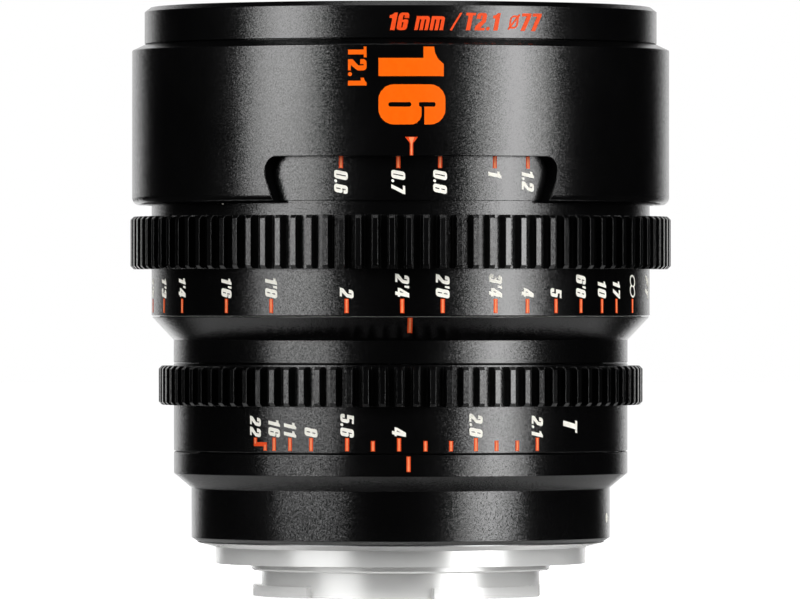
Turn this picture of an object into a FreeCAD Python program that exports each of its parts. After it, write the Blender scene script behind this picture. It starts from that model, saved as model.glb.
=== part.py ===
import FreeCAD, Part
import math
import os
from FreeCAD import Vector

# A wide prime lens for moving pictures: turned rings, nine glass elements and a nine-blade iris.
# Millimetres. The optical axis is +Z and points to the front of the lens, and the origin is the
# centre of the rear end face of the bayonet. Angles are degrees from -Y, growing towards +X.
# The lens is drawn focused at about 0.7 m, with its iris near T4.

# Fits that several pieces share
running_clearance = 0.08
ring_gap = 0.15
washer_clearance = 0.05
washer_inset = 0.4
stop_clearance_angle = 0.4
joint_overlap = 0.5
edge_break = 0.1
same_place = 0.001

# Focus travel: the ring turns through its throw while the glass moves along the axis
focus_throw = 300.0
focus_from_infinity = 67.4
focus_travel = 1.4

# Iris travel: the ring turns through its throw while each blade swings on its pivot
aperture_throw = 72.1
aperture_from_open = 34.3

# Rims of the glass, from which the barrels, the rings and the shell are stacked outward
inner_rim = 18.0
barrel_step = 4.0
front_cell_step = 5.0
rear_rim = 15.0

# Glass: top vertex, thickness, front radius, rear radius, front and rear half apertures, rim radius.
# Radii are positive when the surface falls away from the front as it leaves the axis.
step_rim = inner_rim + barrel_step
wide_rim = step_rim + barrel_step
front_rim = wide_rim + front_cell_step
front_elements = (
    (0.0, 3.0, 75.0, 36.0, front_rim, 22.0, front_rim),
    (10.2, 2.2, 52.0, 22.0, 22.0, 17.0, wide_rim),
    (23.2, 1.8, -90.0, 40.0, 17.0, 16.0, step_rim),
    (25.0, 7.0, 40.0, -60.0, 16.0, 16.0, step_rim),
    (38.2, 6.0, 38.0, -70.0, 14.0, 14.0, inner_rim),
)
rear_elements = (
    (0.0, 1.6, -30.0, 24.0, 11.0, 11.0, rear_rim),
    (1.6, 6.5, 24.0, -32.0, 11.0, 11.0, rear_rim),
    (9.3, 4.2, 60.0, -40.0, 12.0, 12.0, rear_rim),
    (14.5, 2.2, -45.0, -35.0, 12.0, 12.0, rear_rim),
)
front_glass_recess = 5.52
rear_glass_setback = 4.1
retainer_clearance = 0.6
retainer_height = 1.6
front_retainer_width = 1.4
front_retainer_height = 1.5
barrel_end_margin = 0.8
glass_shoulder = 0.5

# Bayonet mount, from its rear end upward
rear_group_clearance = 0.9
rear_baffle_wall = 1.8
rear_baffle_inset = 0.6
rear_baffle_lip_height = 0.8
rear_baffle_lip_width = 3.9
neck_wall = 1.55
neck_length = 4.0
lug_reach = 1.3
lug_height = 1.72
lug_spans = ((13.0, 56.0), (151.0, 58.0), (263.0, 57.6))
spigot_step = 1.55
spigot_height = 1.06
spigot_bevel = 0.25
flange_thickness = 2.54
mount_bevel_width = 2.85
mount_bevel_height = 0.75
shim_thickness = 0.15
shim_inset = 0.6
mount_screw_count = 4
mount_screw_radius = 1.0
mount_screw_head_radius = 1.9
mount_screw_head_height = 0.95
mount_screw_grip = 3.6
mount_screw_cross_length = 2.2
mount_screw_cross_width = 0.5
mount_screw_cross_depth = 0.7
lock_hole_radius = 1.35
lock_hole_depth = 2.0
lock_hole_angle = 200.0

# Rear barrel, with the collar that carries the iris index
rear_edge_width = 0.9
rear_edge_height = 0.6
rear_straight = 7.7
rear_cone_width = 2.75
rear_cone_height = 2.3
rear_collar_height = 3.35
rear_ledge_height = 4.5
rear_ledge_step = 0.7

# Aperture ring
aperture_wall = 3.87
aperture_band_height = 7.17
aperture_gear_height = 6.09
aperture_rim_height = 0.34
aperture_gear_reach = 2.35
aperture_teeth = 92
drive_pin_radius = 1.0
drive_pin_drop = 3.2
drive_pin_seat = 3.0
drive_pin_angle = 180.0
aperture_stop_angle = 90.0

# Focus index ring
index_cylinder_height = 3.55
index_cone_height = 3.6
index_cone_inset = 0.05

# Focus ring
focus_wall = 2.94
feet_band_height = 7.25
focus_gear_height = 8.2
focus_neck_height = 2.2
metre_band_step = 0.5
metre_band_height = 7.7
focus_gear_reach = 3.3
focus_teeth = 102
focus_ledge_height = 2.55
focus_stop_inset = 2.42
focus_stop_angle = 90.0

# Gear teeth of both rings
tooth_depth = 1.8
tooth_chamfer = 0.5
tooth_tip_share = 0.33
tooth_root_share = 0.55
focus_gear_phase = 0.5
aperture_gear_phase = -0.07

# Stop pins
stop_pin_radius = 0.9
stop_pin_grip = 3.0
stop_pin_reach = 1.4
stop_groove_spare = 0.3

# Front shell and its scale window
shell_wall = 2.4
shell_standoff = 1.8
shell_foot_radius = 1.2
shell_shoulder_width = 1.95
shell_shoulder_height = 0.9
band_clearance = 0.15
shell_ledge_height = 2.0
shell_ledge_clearance = 1.1
window_angle = 2.6
window_height = 7.1
window_half_angle_top = 33.6
window_half_angle_bottom = 30.2
window_corner = 2.4
shell_screw_count = 6
shell_screw_radius = 0.9
shell_screw_head_radius = 1.7
shell_screw_head_height = 1.2
shell_screw_grip = 2.6

# Front ring, with the filter thread drawn at its minor diameter
front_groove_depth = 0.7
front_groove_height = 0.1
front_land = 5.0
front_chamfer_height = 0.72
front_chamfer_width = 0.94
filter_wall = 1.9
filter_depth = 4.0
front_skirt_length = 3.9
front_skirt_wall = 3.15

# Front baffle
baffle_steps = 4
baffle_wall = 1.0
baffle_clearance = 0.52
baffle_lip_overlap = 0.5
baffle_floor_width = 1.0
baffle_skirt_wall = 1.2
baffle_skirt_length = 1.1
baffle_recess = 0.3

# Guide barrel
guide_wall = 1.45
guide_foot_wall = 3.5
guide_flange_height = 4.0
guide_screw_count = 4
guide_screw_radius = 0.85
guide_screw_head_radius = 1.55
guide_screw_head_height = 1.4
guide_screw_grip = 5.0

# Thrust washers
front_washer_thickness = 0.25
rear_washer_thickness = 0.5
rear_washer_width = 2.0

# Helicoid, whose threads are drawn as plain running sleeves at their pitch radius
nut_wall = 2.3
nut_height = 8.0
nut_lift = 2.3
sleeve_wall = 2.0
sleeve_land_height = 4.0
sleeve_ring_height = 1.5
sleeve_ring_wall = 2.9
sleeve_ring_recess = 1.5
key_count = 3
key_width = 4.0
key_height = 5.0
key_angle = 60.0
key_inset = 0.4

# Lens carrier and the group barrels that it holds
front_barrel_wall = 1.42
group_wall = 2.0
cell_wall = 2.5
cell_floor_wall = 1.5
cell_clearance = 0.5815
carrier_wall = 2.55
carrier_end_clearance = 0.6
carrier_stop_height = 2.0
carrier_stop_step = 2.0
carrier_seat_height = 2.0
carrier_seat_step = 1.0
rear_plate_height = 2.0
rear_plate_pilot = 0.8
rear_plate_lift = 0.8
rear_plate_screw_count = 3
rear_plate_screw_radius = 0.7
rear_plate_screw_grip = 2.6
cam_bore_step = 0.4

# Iris
blade_count = 9
blade_pivot_radius = 17.5
blade_pivot_angle = 90.0
iris_open_radius = 10.6
iris_closed_radius = 1.01
blade_edge_margin = 0.1
blade_width = 5.0
blade_reach = 100.0
blade_thickness = 0.15
blade_gap = 0.07
blade_ear_radius = 2.2
blade_lever = 6.5
blade_lever_width = 2.0
blade_pivot_pin_radius = 0.6
blade_drive_pin_radius = 0.35
blade_pin_clearance = 0.06
iris_plate_height = 2.0
cam_plate_height = 1.3
cam_rim_wall = 2.5
cam_rim_margin = 1.64
cam_bore = 13.0
cam_slot_spare_angle = 2.0
cam_slot_points = 13
cam_slot_tangent_angle = 0.5

# Travels, worked out from the sizes above
travel_back = focus_travel * focus_from_infinity / focus_throw
travel_forward = focus_travel - travel_back
focus_to_near = focus_throw - focus_from_infinity
aperture_to_closed = aperture_throw - aperture_from_open
blade_reduction = (iris_open_radius - iris_closed_radius) / (2.0 * blade_pivot_radius)
blade_swing = 2.0 * math.degrees(math.asin(blade_reduction))
blade_ratio = blade_swing / aperture_throw

# Radii, stacked outward from the glass
carrier_bore = wide_rim + front_barrel_wall
carrier_radius = carrier_bore + carrier_wall
carrier_seat_bore = step_rim + group_wall + carrier_seat_step
carrier_stop_bore = inner_rim + group_wall + carrier_stop_step
cam_bore_radius = carrier_bore - cam_bore_step
cam_radius = cam_bore_radius - running_clearance
guide_bore = carrier_radius + running_clearance
guide_radius = guide_bore + guide_wall
guide_foot_bore = guide_radius - guide_foot_wall
guide_screw_circle = (guide_foot_bore + guide_radius) / 2.0
ring_bore = guide_radius + running_clearance
nut_radius = ring_bore + nut_wall
sleeve_bore = nut_radius + running_clearance
sleeve_radius = sleeve_bore + sleeve_wall
focus_band_radius = sleeve_radius + focus_wall
focus_gear_radius = focus_band_radius + focus_gear_reach
focus_stop_circle = ring_bore + focus_stop_inset
metre_band_radius = focus_band_radius + metre_band_step
index_cone_radius = focus_band_radius - index_cone_inset
collar_radius = ring_bore + aperture_wall
aperture_gear_radius = collar_radius + aperture_gear_reach
aperture_stop_circle = (ring_bore + collar_radius) / 2.0
shell_bore = metre_band_radius + band_clearance
shell_radius = shell_bore + shell_wall
shell_ledge_bore = front_rim + cell_wall + shell_ledge_clearance
shell_screw_circle = (shell_ledge_bore + shell_bore) / 2.0
front_radius = shell_radius - shell_shoulder_width
front_groove_radius = front_radius - front_groove_depth
filter_radius = front_radius - filter_wall
front_skirt_bore = shell_bore - front_skirt_wall
rear_radius = collar_radius - rear_cone_width
mount_edge_radius = rear_radius - rear_edge_width
flange_radius = mount_edge_radius - mount_bevel_width
rear_baffle_bore = rear_rim + cell_wall + rear_group_clearance
mount_bore = rear_baffle_bore + rear_baffle_wall
neck_radius = mount_bore + neck_wall
lug_radius = neck_radius + lug_reach
spigot_radius = neck_radius + spigot_step
rear_ledge_bore = spigot_radius + rear_ledge_step
mount_screw_circle = (spigot_radius + flange_radius) / 2.0

# Heights, stacked up from the rear end of the mount
flange_height = neck_length + spigot_height
mount_top = flange_height + flange_thickness + mount_bevel_height
rear_bottom = mount_top + shim_thickness
guide_bottom = rear_bottom + rear_ledge_height
rear_cone_bottom = rear_bottom + rear_edge_height + rear_straight
rear_collar_bottom = rear_cone_bottom + rear_cone_height
rear_top = rear_collar_bottom + rear_collar_height
aperture_bottom = rear_top + ring_gap
aperture_gear_bottom = aperture_bottom + aperture_band_height
aperture_gear_top = aperture_gear_bottom + aperture_gear_height
aperture_top = aperture_gear_top + aperture_rim_height
drive_pin_height = aperture_top - drive_pin_drop
index_bottom = aperture_top + ring_gap
index_cone_bottom = index_bottom + index_cylinder_height
index_top = index_cone_bottom + index_cone_height
focus_bottom = index_top + ring_gap
focus_gear_bottom = focus_bottom + feet_band_height
focus_gear_top = focus_gear_bottom + focus_gear_height
metre_band_bottom = focus_gear_top + focus_neck_height
focus_top = metre_band_bottom + metre_band_height
focus_ledge_top = focus_bottom + focus_ledge_height
nut_bottom = focus_ledge_top + nut_lift
key_bottom = nut_bottom + (nut_height - key_height) / 2.0
key_top = key_bottom + key_height
shell_bottom = focus_gear_top + shell_standoff
guide_flange_bottom = focus_top + washer_clearance + front_washer_thickness
guide_flange_top = guide_flange_bottom + guide_flange_height
cell_bottom = guide_flange_top + travel_back + cell_clearance
cell_floor = cell_bottom + cell_floor_wall


def ray(angle, radius=1.0, height=0.0):
    """Return the point at an angle round the axis, at a radius and a height."""
    turn = math.radians(angle)
    return Vector(radius * math.sin(turn), -radius * math.cos(turn), height)


def turned(outline, start=180.0, sweep=360.0):
    """Return a solid of revolution from its corners, each a radius and a height."""
    corners = [ray(start, radius, height) for radius, height in outline]
    face = Part.Face(Part.makePolygon(corners + corners[:1]))
    return face.revolve(Vector(0, 0, 0), Vector(0, 0, 1), sweep)


def tube(inner, outer, bottom, top, start=180.0, sweep=360.0):
    """Return a plain ring, or a sector of one."""
    outline = [(inner, bottom), (outer, bottom), (outer, top), (inner, top)]
    return turned(outline, start, sweep)


def eased(outline, marks):
    """Return an outline whose marked corners are cut by the edge break."""
    corners = []
    for index, (radius, height) in enumerate(outline):
        if index not in marks:
            corners.append((radius, height))
            continue
        for near_radius, near_height in (outline[index - 1], outline[index + 1]):
            share = edge_break / math.hypot(near_radius - radius, near_height - height)
            corners.append((radius + share * (near_radius - radius),
                            height + share * (near_height - height)))
    return corners


def peg(radius, bottom, top, angle, circle):
    """Return a round pin parallel to the axis, on a circle round it."""
    return Part.makeCylinder(radius, top - bottom, ray(angle, circle, bottom))


def pegs(count, radius, bottom, top, circle, first=0.0):
    """Return equal pins, evenly spaced round a circle."""
    pitch = 360.0 / count
    return [peg(radius, bottom, top, first + pitch * index, circle) for index in range(count)]


def rounded(corners, radii):
    """Return a closed flat wire whose corners are rounded by their own radii."""
    marks = []
    for index, corner in enumerate(corners):
        back = (corners[index - 1] - corner).normalize()
        ahead = (corners[(index + 1) % len(corners)] - corner).normalize()
        half = back.getAngle(ahead) / 2.0
        reach = radii[index] / math.tan(half)
        inward = (back + ahead).normalize()
        middle = corner + inward * (radii[index] / math.sin(half) - radii[index])
        marks.append((corner + back * reach, middle, corner + ahead * reach))
    edges = []
    for index, (start, middle, end) in enumerate(marks):
        if radii[index] > 0:
            edges.append(Part.Arc(start, middle, end).toShape())
        edges.append(Part.makeLine(end, marks[(index + 1) % len(marks)][0]))
    return Part.Wire(edges)


def gear_ring(bore, tip, teeth, phase, bottom, top):
    """Return a gear ring with chamfered tooth ends, whose first tooth stands a share of a pitch on."""
    pitch = 360.0 / teeth
    root = tip - tooth_depth
    root_half = tooth_root_share * pitch / 2.0
    tip_half = tooth_tip_share * pitch / 2.0
    corners = []
    for index in range(teeth):
        centre = (index + phase) * pitch
        corners.append(ray(centre - root_half, root, bottom))
        corners.append(ray(centre - tip_half, tip, bottom))
        corners.append(ray(centre + tip_half, tip, bottom))
        corners.append(ray(centre + root_half, root, bottom))
    outline = Part.Face(Part.makePolygon(corners + corners[:1]))
    toothed = outline.extrude(Vector(0, 0, top - bottom))
    edge = tip - tooth_chamfer
    middle = (bottom + top) / 2.0
    peak = edge + middle - bottom
    blank = turned([(bore, bottom), (edge, bottom), (peak, middle), (edge, top), (bore, top)])
    return toothed.common(blank)


def sag(radius, aperture):
    """Return how far a spherical surface falls from its vertex at a half aperture."""
    depth = abs(radius) - math.sqrt(radius * radius - aperture * aperture)
    return math.copysign(depth, radius)


def glass(top, element):
    """Return one lens element with ground flats and a cylindrical rim."""
    drop, thickness, front, rear, front_half, rear_half, rim = element
    vertex = top - drop
    back = vertex - thickness
    front_seat = vertex - sag(front, front_half)
    rear_seat = back - sag(rear, rear_half)
    corners = [(0, vertex), (front_half, front_seat), (rim, front_seat),
               (rim, rear_seat), (rear_half, rear_seat), (0, back)]
    places = [Vector(radius, 0, height) for radius, height in corners]
    front_middle = Vector(front_half / 2.0, 0, vertex - sag(front, front_half / 2.0))
    rear_middle = Vector(rear_half / 2.0, 0, back - sag(rear, rear_half / 2.0))
    edges = [Part.Arc(places[0], front_middle, places[1]).toShape()]
    for first, second in zip(places[1:4], places[2:5]):
        if first.distanceToPoint(second) > same_place:
            edges.append(Part.makeLine(first, second))
    edges.append(Part.Arc(places[4], rear_middle, places[5]).toShape())
    edges.append(Part.makeLine(places[5], places[0]))
    return Part.Face(Part.Wire(edges)).revolve(Vector(0, 0, 0), Vector(0, 0, 1), 360.0)


def front_flat(top, element):
    """Return the height of an element's front seat."""
    return top - element[0] - sag(element[2], element[4])


def rear_flat(top, element):
    """Return the height of an element's rear seat."""
    return top - element[0] - element[1] - sag(element[3], element[5])


# Heights of the front, stacked up from the floor of the front cell
glass_front_1, glass_2, glass_3, glass_4, glass_5 = front_elements
front_glass_top = cell_floor - rear_flat(0.0, glass_front_1)
front_top = front_glass_top + front_glass_recess
filter_bottom = front_top - filter_depth
front_land_top = front_top - front_chamfer_height
front_land_bottom = front_land_top - front_land
shell_top = front_land_bottom - front_groove_height
glass_2_seat = rear_flat(front_glass_top, glass_2)
glass_4_seat = rear_flat(front_glass_top, glass_4)
glass_5_seat = front_flat(front_glass_top, glass_5)
carrier_seat_top = glass_2_seat - group_wall

# Heights of the iris, stacked up from the rear group's plate
carrier_bottom = rear_top + rear_plate_height - rear_plate_lift + ring_gap
rear_plate_bottom = carrier_bottom - rear_plate_height
guide_foot_top = rear_plate_bottom - travel_back - carrier_end_clearance
iris_plate_bottom = carrier_bottom + rear_plate_pilot
iris_plate_top = iris_plate_bottom + iris_plate_height
blade_bottom = iris_plate_top + blade_gap
blade_pitch = blade_thickness + blade_gap
cam_bottom = blade_bottom + blade_count * blade_pitch
cam_plate_top = cam_bottom + cam_plate_height
cam_top = drive_pin_height + drive_pin_radius + travel_back + cam_rim_margin
carrier_stop_bottom = cam_top + blade_gap

# Seats of the rear glass, which hangs below the iris
glass_6, glass_7, glass_8, glass_9 = rear_elements
rear_glass_top = iris_plate_bottom - rear_glass_setback
rear_shoulder = front_flat(rear_glass_top, glass_6)


def bayonet_mount():
    """Return the metal mount with its three lugs, screw holes and lock-pin hole."""
    outline = [
        (mount_bore, 0), (neck_radius, 0), (neck_radius, neck_length),
        (spigot_radius - spigot_bevel, neck_length), (spigot_radius, neck_length + spigot_bevel),
        (spigot_radius, flange_height), (flange_radius, flange_height),
        (flange_radius, flange_height + flange_thickness), (mount_edge_radius, mount_top),
        (mount_bore, mount_top),
    ]
    lugs = [tube(neck_radius - joint_overlap, lug_radius, 0, lug_height, start, sweep)
            for start, sweep in lug_spans]
    body = turned(outline).fuse(lugs)
    hole_top = flange_height + lock_hole_depth
    lock_hole = peg(lock_hole_radius, flange_height, hole_top, lock_hole_angle, mount_screw_circle)
    return body.cut(mount_screw_solids() + [lock_hole]).removeSplitter()


def mount_screw_solids():
    """Return the countersunk screws that hold the mount to the rear barrel."""
    top = rear_bottom + mount_screw_grip
    pitch = 360.0 / mount_screw_count
    screws = []
    for index in range(mount_screw_count):
        angle = pitch * (index + 0.5)
        seat = ray(angle, mount_screw_circle, flange_height)
        head = Part.makeCone(mount_screw_head_radius, mount_screw_radius, mount_screw_head_height, seat)
        shank = peg(mount_screw_radius, flange_height, top, angle, mount_screw_circle)
        screws.append(head.fuse(shank).removeSplitter())
    return screws


def recessed_mount_screws():
    """Return the mount screws with the cross recess in each head."""
    pitch = 360.0 / mount_screw_count
    half_length = mount_screw_cross_length / 2.0
    half_width = mount_screw_cross_width / 2.0
    screws = []
    for index, screw in enumerate(mount_screw_solids()):
        centre = ray(pitch * (index + 0.5), mount_screw_circle, flange_height)
        along = Part.makeBox(mount_screw_cross_length, mount_screw_cross_width,
                             mount_screw_cross_depth, centre - Vector(half_length, half_width, 0))
        across = Part.makeBox(mount_screw_cross_width, mount_screw_cross_length,
                              mount_screw_cross_depth, centre - Vector(half_width, half_length, 0))
        screws.append(screw.cut([along, across]))
    return screws


def rear_parts():
    """Return the mount, its screws and shim, the rear baffle and the rear barrel."""
    shim = tube(rear_ledge_bore, mount_edge_radius - shim_inset, mount_top, rear_bottom)
    lip_radius = rear_baffle_bore - rear_baffle_lip_width
    lip_top = rear_baffle_inset + rear_baffle_lip_height
    baffle = turned([
        (lip_radius, rear_baffle_inset), (mount_bore, rear_baffle_inset),
        (mount_bore, mount_top), (rear_baffle_bore, mount_top), (rear_baffle_bore, lip_top),
        (lip_radius, lip_top),
    ])
    barrel = turned(eased([
        (rear_ledge_bore, rear_bottom), (mount_edge_radius, rear_bottom),
        (rear_radius, rear_bottom + rear_edge_height), (rear_radius, rear_cone_bottom),
        (collar_radius, rear_collar_bottom), (collar_radius, rear_top), (guide_radius, rear_top),
        (guide_radius, guide_bottom), (rear_ledge_bore, guide_bottom),
    ], (5,)))
    pin = stop_pin(aperture_stop_angle, aperture_stop_circle, rear_top, aperture_bottom)
    screws = guide_screw_solids()
    barrel = barrel.cut(mount_screw_solids() + screws + [pin])
    return {
        "bayonet_mount": bayonet_mount(),
        "mount_screws": Part.makeCompound(recessed_mount_screws()),
        "mount_shim": shim.cut(mount_screw_solids() + screws),
        "rear_baffle": baffle,
        "rear_barrel": barrel,
        "barrel_screws": Part.makeCompound(screws),
        "aperture_stop_pin": pin,
    }


def guide_screw_solids():
    """Return the cap screws that hold the rear barrel to the guide barrel."""
    head_top = rear_bottom + guide_screw_head_height
    shank_top = guide_bottom + guide_screw_grip
    heads = pegs(guide_screw_count, guide_screw_head_radius, rear_bottom, head_top,
                 guide_screw_circle)
    shanks = pegs(guide_screw_count, guide_screw_radius, rear_bottom, shank_top,
                  guide_screw_circle)
    return [head.fuse(shank).removeSplitter() for head, shank in zip(heads, shanks)]


def stop_pin(angle, circle, seat, ring_underside):
    """Return a stop pin that stands in a fixed ring and reaches into the turning ring above."""
    return peg(stop_pin_radius, seat - stop_pin_grip, ring_underside + stop_pin_reach, angle, circle)


def stop_groove(angle, circle, ring_underside, turn_back, turn_ahead):
    """Return the cutter for the groove that a stop pin runs in as the ring turns."""
    half = stop_pin_radius + stop_groove_spare
    pin_half_angle = math.degrees(math.asin(stop_pin_radius / circle)) + stop_clearance_angle
    start = angle - turn_ahead - pin_half_angle
    sweep = turn_back + turn_ahead + 2.0 * pin_half_angle
    top = ring_underside + stop_pin_reach + stop_groove_spare
    return tube(circle - half, circle + half, ring_underside - ring_gap, top, start, sweep)


def drive_pin():
    """Return the radial pin that couples the aperture ring to the iris."""
    inner = cam_radius - cam_rim_wall
    length = ring_bore + drive_pin_seat - inner
    place = ray(drive_pin_angle, inner, drive_pin_height)
    return Part.makeCylinder(drive_pin_radius, length, place, ray(drive_pin_angle))


def drive_slot(inner, outer, bottom, top):
    """Return the cutter for the slot that the drive pin swings in."""
    spare = math.degrees(math.asin(drive_pin_radius / inner)) + 2.0 * stop_clearance_angle
    start = drive_pin_angle - aperture_from_open - spare
    return tube(inner, outer, bottom, top, start, aperture_throw + 2.0 * spare)


def aperture_parts():
    """Return the aperture ring and its drive pin."""
    blank = turned(eased([
        (ring_bore, aperture_bottom), (collar_radius, aperture_bottom),
        (collar_radius, aperture_top), (ring_bore, aperture_top),
    ], (1, 2)))
    gear = gear_ring(collar_radius - joint_overlap, aperture_gear_radius, aperture_teeth,
                     aperture_gear_phase, aperture_gear_bottom, aperture_gear_top)
    groove = stop_groove(aperture_stop_angle, aperture_stop_circle, aperture_bottom,
                         aperture_from_open, aperture_to_closed)
    ring = blank.fuse(gear).cut([groove, drive_pin()]).removeSplitter()
    return {"aperture_ring": ring, "aperture_drive_pin": drive_pin()}


def focus_index_parts():
    """Return the fixed index ring with its stop pin and the rear thrust washer."""
    pin = stop_pin(focus_stop_angle, focus_stop_circle, index_top, focus_bottom)
    washer_top = focus_bottom - washer_clearance
    washer_bottom = washer_top - rear_washer_thickness
    washer_inner = focus_stop_circle + stop_pin_radius + stop_groove_spare + washer_inset
    washer_outer = washer_inner + rear_washer_width
    ring = turned(eased([
        (guide_radius, index_bottom), (collar_radius, index_bottom),
        (collar_radius, index_cone_bottom), (index_cone_radius, index_top),
        (washer_outer, index_top), (washer_outer, washer_bottom),
        (washer_inner, washer_bottom), (washer_inner, index_top),
        (guide_radius, index_top),
    ], (1, 3)))
    washer = tube(washer_inner, washer_outer, washer_bottom, washer_top)
    return {"focus_index_ring": ring.cut(pin), "focus_stop_pin": pin, "rear_thrust_washer": washer}


def focus_parts():
    """Return the focus ring, its helicoid sleeve and the ring that locks the sleeve."""
    body = turned(eased([
        (ring_bore, focus_bottom), (focus_band_radius, focus_bottom),
        (focus_band_radius, metre_band_bottom), (metre_band_radius, metre_band_bottom),
        (metre_band_radius, focus_top), (sleeve_radius, focus_top),
        (sleeve_radius, focus_ledge_top), (ring_bore, focus_ledge_top),
    ], (1,)))
    gear = gear_ring(focus_band_radius - joint_overlap, focus_gear_radius, focus_teeth,
                     focus_gear_phase, focus_gear_bottom, focus_gear_top)
    groove = stop_groove(focus_stop_angle, focus_stop_circle, focus_bottom,
                         focus_from_infinity, focus_to_near)
    sleeve_top = focus_top - sleeve_ring_recess - sleeve_ring_height
    thread_top = sleeve_top - sleeve_land_height
    sleeve = turned([
        (sleeve_bore, focus_ledge_top), (sleeve_radius, focus_ledge_top),
        (sleeve_radius, sleeve_top), (ring_bore, sleeve_top), (ring_bore, thread_top),
        (sleeve_bore, thread_top),
    ])
    lock_ring = tube(sleeve_radius - sleeve_ring_wall, sleeve_radius, sleeve_top,
                     sleeve_top + sleeve_ring_height)
    return {
        "focus_ring": body.fuse(gear).cut(groove).removeSplitter(),
        "helicoid_sleeve": sleeve,
        "sleeve_lock_ring": lock_ring,
    }


def key_solids(inner, outer, width, bottom, top):
    """Return radial blocks at the focus keys' places."""
    blocks = []
    for index in range(key_count):
        block = Part.makeBox(width, outer - inner, top - bottom, Vector(-width / 2.0, -outer, bottom))
        angle = key_angle + index * 360.0 / key_count
        blocks.append(block.rotate(Vector(0, 0, 0), Vector(0, 0, 1), angle))
    return blocks


def focus_keys():
    """Return the keys that slide in the guide barrel and carry the lens carrier."""
    return key_solids(carrier_bore + key_inset, nut_radius - key_inset, key_width,
                      key_bottom, key_top)


def focus_nut():
    """Return the follower nut that the helicoid drives along the axis."""
    body = tube(ring_bore, nut_radius, nut_bottom, nut_bottom + nut_height)
    return body.cut(focus_keys())


def guide_barrel():
    """Return the fixed barrel that the rings turn on and the lens carrier slides in."""
    body = turned([
        (guide_foot_bore, guide_bottom), (guide_radius, guide_bottom),
        (guide_radius, guide_flange_bottom), (shell_bore, guide_flange_bottom),
        (shell_bore, guide_flange_top), (guide_bore, guide_flange_top),
        (guide_bore, guide_foot_top), (guide_foot_bore, guide_foot_top),
    ])
    key_slots = key_solids(guide_foot_bore, ring_bore, key_width + 2.0 * running_clearance,
                           key_bottom - travel_back - ring_gap, key_top + travel_forward + ring_gap)
    pin_half = drive_pin_radius + ring_gap
    pin_slot = drive_slot(guide_foot_bore, ring_bore, drive_pin_height - pin_half,
                          drive_pin_height + pin_half)
    return body.cut(key_slots + [pin_slot] + guide_screw_solids() + shell_screw_solids())


def shell_screw_solids():
    """Return the cap screws that hold the front shell to the guide barrel."""
    seat = guide_flange_top + shell_ledge_height
    shank_bottom = guide_flange_top - shell_screw_grip
    heads = pegs(shell_screw_count, shell_screw_head_radius, seat, seat + shell_screw_head_height,
                 shell_screw_circle)
    shanks = pegs(shell_screw_count, shell_screw_radius, shank_bottom,
                  seat + shell_screw_head_height, shell_screw_circle)
    return [head.fuse(shank).removeSplitter() for head, shank in zip(heads, shanks)]


def window_cutter():
    """Return the cutter for the scale window, whose side walls point at the axis."""
    top = shell_bottom + window_height
    bottom = shell_bottom - ring_gap
    spread = math.tan(math.radians(window_half_angle_top))
    foot = math.tan(math.radians(window_half_angle_bottom))
    wires = []
    for distance in (guide_radius - joint_overlap, shell_radius + 2.0 * joint_overlap):
        corners = [
            Vector(-distance * foot, -distance, bottom), Vector(distance * foot, -distance, bottom),
            Vector(distance * spread, -distance, top), Vector(-distance * spread, -distance, top),
        ]
        wires.append(rounded(corners, (0.0, 0.0, window_corner, window_corner)))
    cutter = Part.makeLoft(wires, True, True)
    return cutter.rotate(Vector(0, 0, 0), Vector(0, 0, 1), window_angle)


def foot_edges(shell):
    """Return the outer edge of the shell's foot."""
    edges = []
    for edge in shell.Edges:
        box = edge.BoundBox
        if box.ZMax < shell_bottom + same_place and box.XMax > shell_radius - same_place:
            edges.append(edge)
    return edges


def window_edges(shell):
    """Return the edges that the scale window cuts in the shell's outer face."""
    top = shell_bottom + window_height
    edges = []
    for edge in shell.Edges:
        middle = edge.valueAt((edge.FirstParameter + edge.LastParameter) / 2.0)
        off_face = abs(math.hypot(middle.x, middle.y) - shell_radius)
        if off_face < same_place and shell_bottom + same_place < middle.z < top + same_place:
            edges.append(edge)
    return edges


def front_parts():
    """Return the shell, its screws and washer, the front ring and the front baffle."""
    ledge_top = guide_flange_top + shell_ledge_height
    shell = turned(eased([
        (shell_bore, shell_bottom), (shell_radius, shell_bottom),
        (shell_radius, shell_top - shell_shoulder_height), (front_radius, shell_top),
        (shell_bore, shell_top), (shell_bore, ledge_top), (shell_ledge_bore, ledge_top),
        (shell_ledge_bore, guide_flange_top), (shell_bore, guide_flange_top),
    ], (2,)))
    screws = shell_screw_solids()
    shell = shell.cut([window_cutter()] + screws)
    shell = shell.makeChamfer(edge_break, window_edges(shell))
    shell = shell.makeFillet(shell_foot_radius, foot_edges(shell))
    skirt_bottom = shell_top - front_skirt_length
    ring = turned(eased([
        (front_skirt_bore, skirt_bottom), (shell_bore, skirt_bottom), (shell_bore, shell_top),
        (front_groove_radius, shell_top), (front_groove_radius, front_land_bottom),
        (front_radius, front_land_bottom), (front_radius, front_land_top),
        (front_radius - front_chamfer_width, front_top), (filter_radius, front_top),
        (filter_radius, filter_bottom), (front_skirt_bore, filter_bottom),
    ], (5,)))
    return {
        "front_shell": shell,
        "shell_screws": Part.makeCompound(screws),
        "front_thrust_washer": tube(sleeve_radius + washer_inset, metre_band_radius - washer_inset,
                                    guide_flange_bottom - front_washer_thickness,
                                    guide_flange_bottom),
        "front_ring": ring,
        "front_baffle": front_baffle(),
    }


def front_retainer_span():
    """Return the lower and upper heights of the ring that holds the front glass."""
    bore = front_rim - front_retainer_width
    bottom = front_glass_top - sag(glass_front_1[2], bore)
    return bottom, bottom + front_retainer_height


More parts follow.
